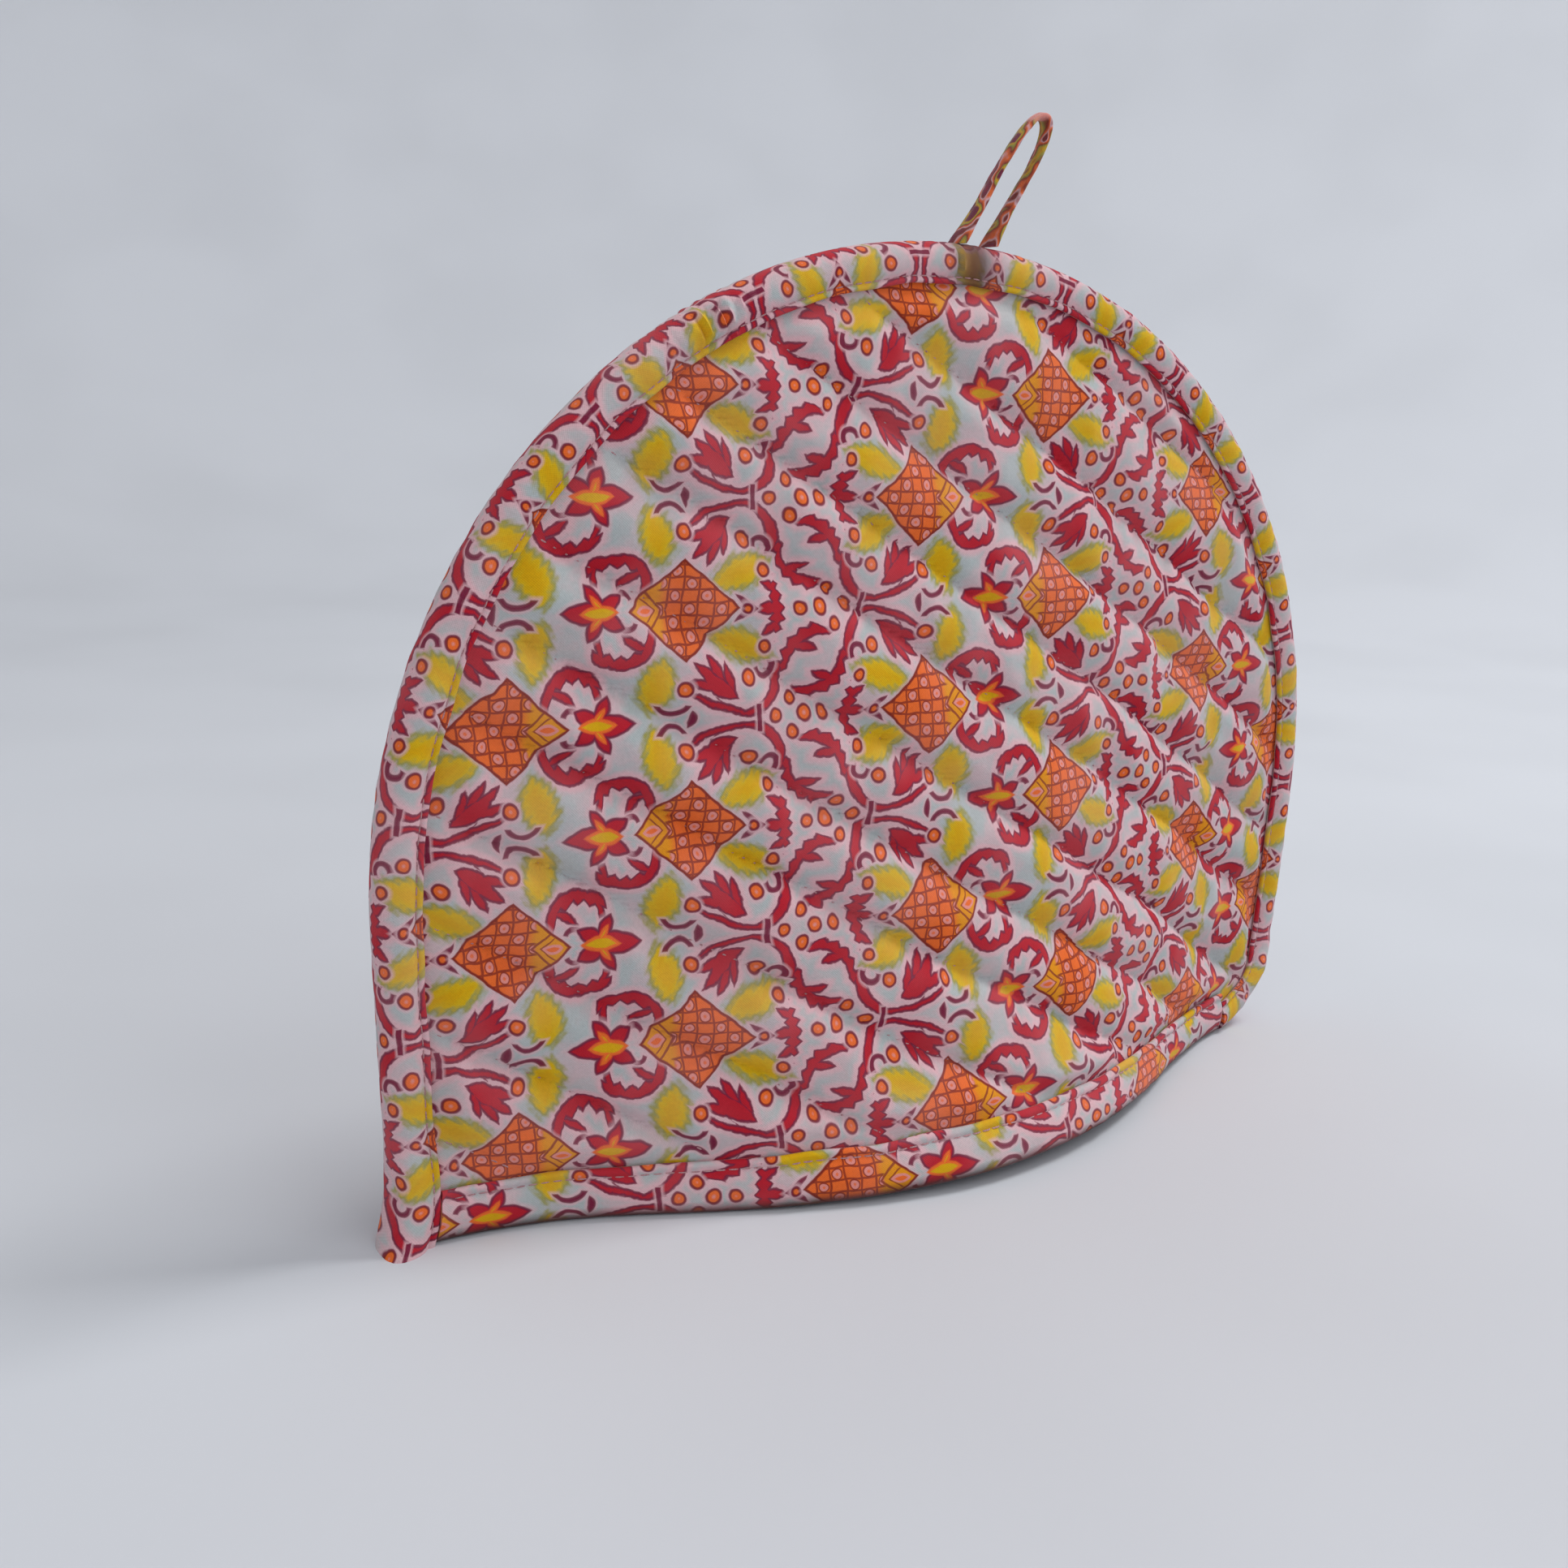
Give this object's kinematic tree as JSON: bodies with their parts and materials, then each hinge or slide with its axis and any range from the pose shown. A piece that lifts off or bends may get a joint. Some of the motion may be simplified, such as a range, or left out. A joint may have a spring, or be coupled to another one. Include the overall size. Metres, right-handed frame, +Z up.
{
  "type": "tea cosy",
  "caption": "Half-moon quilted cotton tea cosy standing open on its hem, with bound edges and a hanging loop.",
  "frame": {"origin": "middle of the open mouth, on the surface that the hem rests on", "axes": "+Z up to the arch, +X along the seam to the right as seen from the front, -Y out of the front panel"},
  "size_m": [0.3162, 0.1026, 0.2744],
  "materials": {
    "printed_cotton": "matt quilted cotton with a floral print in red, orange and yellow on pale grey-white",
    "binding_cotton": "matt cotton strip cut from the same print",
    "loop_cotton": "matt folded cotton strap cut from the same print"
  },
  "bodies": {
    "root": {"panel_front": "printed_cotton", "panel_back": "printed_cotton", "edge_binding": "binding_cotton", "hem_binding_front": "binding_cotton", "hem_binding_back": "binding_cotton", "hanging_loop": "loop_cotton"}
  },
  "joints": []
}
